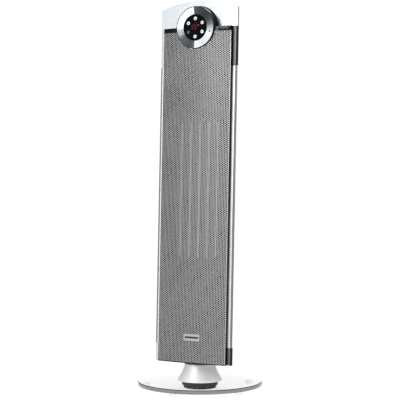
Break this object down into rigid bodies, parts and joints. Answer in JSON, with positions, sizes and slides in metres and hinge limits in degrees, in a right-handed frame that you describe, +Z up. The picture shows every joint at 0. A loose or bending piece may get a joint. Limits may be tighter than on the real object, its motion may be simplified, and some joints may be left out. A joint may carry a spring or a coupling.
{
  "type": "ceramic tower heater",
  "caption": "Free-standing ceramic tower heater: bowed perforated front, arched silver head with round control drum, swivelling on a flared neck and round glass base.",
  "frame": {"origin": "on the floor under the middle of the round glass base and the swivel neck", "axes": "+Z up, -Y the way the mesh front faces, +X to the right seen along +Y"},
  "size_m": [0.25, 0.25, 0.775],
  "materials": {
    "clear_glass": "clear, ground edge",
    "clear_plastic": "clear",
    "black_plastic": "fine moulded grain",
    "screw_steel": "zinc plated",
    "rubber_dark": "soft matt",
    "satin_metal": "satin, turned",
    "white_plastic": "natural acetal",
    "chassis_black": "heat-proof moulding, dead matt",
    "plated_steel": "galvanised sheet",
    "dark_shell": "fine spark-eroded grain",
    "silver_paint": "light silver metallic paint, glossy",
    "chrome_trim": "satin bright",
    "gloss_black": "high gloss",
    "mesh_steel": "silver-painted perforated steel",
    "badge_metal": "satin",
    "heat_plastic": "heat-proof moulding",
    "ceramic": "fired, in bright holders",
    "fin_aluminium": "rolled fin stock",
    "fan_plastic": "glass-filled moulding",
    "bronze": "sintered",
    "circuit_board": "solder mask",
    "spun_silver": "spun, fine turned lines",
    "fascia_glass": "black glass",
    "button_white": "white, pad-printed symbols",
    "display_red": "red digits lit behind smoked window"
  },
  "bodies": {
    "base": {"glass_disc": "clear_glass", "base_feet": "clear_plastic", "base_hub": "black_plastic", "hub_screws": "screw_steel", "glass_gasket": "rubber_dark", "neck": "satin_metal", "swivel_post": "screw_steel", "thrust_ring": "white_plastic", "fixed_gear": "white_plastic"},
    "tower": {"osc_motor": "plated_steel", "osc_motor_screws": "screw_steel", "bottom_cap": "black_plastic", "rear_shell": "dark_shell", "top_cap": "silver_paint", "arch_cover": "silver_paint", "lower_cheeks": "silver_paint", "side_trim_right": "chrome_trim", "side_trim_left": "chrome_trim", "edge_mouldings": "dark_shell", "side_rail_left": "gloss_black", "side_rail_right": "gloss_black", "bottom_strip": "gloss_black", "top_strips": "gloss_black", "mesh_grille": "mesh_steel", "nameplate": "badge_metal", "main_chassis": "chassis_black", "housing_screws": "screw_steel", "heater_frame": "heat_plastic", "ceramic_bars": "ceramic", "fin_packs": "fin_aluminium", "thermal_cutout": "plated_steel", "fan_motor": "plated_steel", "motor_bracket": "plated_steel", "fan_bearing": "bronze", "bearing_bracket": "plated_steel", "fan_duct": "black_plastic", "power_board": "circuit_board", "terminal_block": "white_plastic", "tip_over_switch": "black_plastic", "room_sensor": "black_plastic", "cord_gland": "black_plastic", "power_switch_frame": "black_plastic", "drum_housing": "gloss_black", "drum_gasket": "rubber_dark", "drum_ring": "spun_silver", "fascia": "fascia_glass", "key_switches": "black_plastic", "display_module": "display_red", "control_board": "circuit_board"},
    "osc_pinion": {"osc_pinion": "white_plastic"},
    "fan": {"fan_impeller": "fan_plastic", "fan_shaft": "screw_steel"},
    "power_rocker": {"power_rocker": "gloss_black"},
    "button_power": {"button_power": "button_white"},
    "button_heat": {"button_heat": "button_white"},
    "button_timer": {"button_timer": "button_white"},
    "button_swing": {"button_swing": "button_white"},
    "button_minus": {"button_minus": "button_white"},
    "button_plus": {"button_plus": "button_white"}
  },
  "joints": [
    {"name": "tower_swivel", "type": "hinge", "parent": "base", "child": "tower", "pos_m": [0, 0, 0.05], "axis": [0, 0, 1], "range_deg": [-35, 35]},
    {"name": "osc_pinion_spin", "type": "hinge", "parent": "tower", "child": "osc_pinion", "pos_m": [0, 0.026, 0.0616], "axis": [0, 0, 1], "range_deg": [-120, 120]},
    {"name": "fan_spin", "type": "hinge", "parent": "tower", "child": "fan", "pos_m": [0, 0.03295, 0.39896], "axis": [0, 0.0401, 0.9992], "continuous": true},
    {"name": "power_rocker_tilt", "type": "hinge", "parent": "tower", "child": "power_rocker", "pos_m": [0, 0.04478, 0.13027], "axis": [1, 0, 0], "range_deg": [0, 16]},
    {"name": "button_power_push", "type": "slide", "parent": "tower", "child": "button_power", "axis": [0, 0.9992, -0.0401], "range_m": [0, 0.001], "stiffness_N_per_m": 400, "springref_m": -0.0005},
    {"name": "button_heat_push", "type": "slide", "parent": "tower", "child": "button_heat", "axis": [0, 0.9992, -0.0401], "range_m": [0, 0.001], "stiffness_N_per_m": 400, "springref_m": -0.0005},
    {"name": "button_timer_push", "type": "slide", "parent": "tower", "child": "button_timer", "axis": [0, 0.9992, -0.0401], "range_m": [0, 0.001], "stiffness_N_per_m": 400, "springref_m": -0.0005},
    {"name": "button_swing_push", "type": "slide", "parent": "tower", "child": "button_swing", "axis": [0, 0.9992, -0.0401], "range_m": [0, 0.001], "stiffness_N_per_m": 400, "springref_m": -0.0005},
    {"name": "button_minus_push", "type": "slide", "parent": "tower", "child": "button_minus", "axis": [0, 0.9992, -0.0401], "range_m": [0, 0.001], "stiffness_N_per_m": 400, "springref_m": -0.0005},
    {"name": "button_plus_push", "type": "slide", "parent": "tower", "child": "button_plus", "axis": [0, 0.9992, -0.0401], "range_m": [0, 0.001], "stiffness_N_per_m": 400, "springref_m": -0.0005}
  ],
  "couplings": [
    {"joint": "osc_pinion_spin", "follows": "tower_swivel", "ratio": 3.3333}
  ]
}
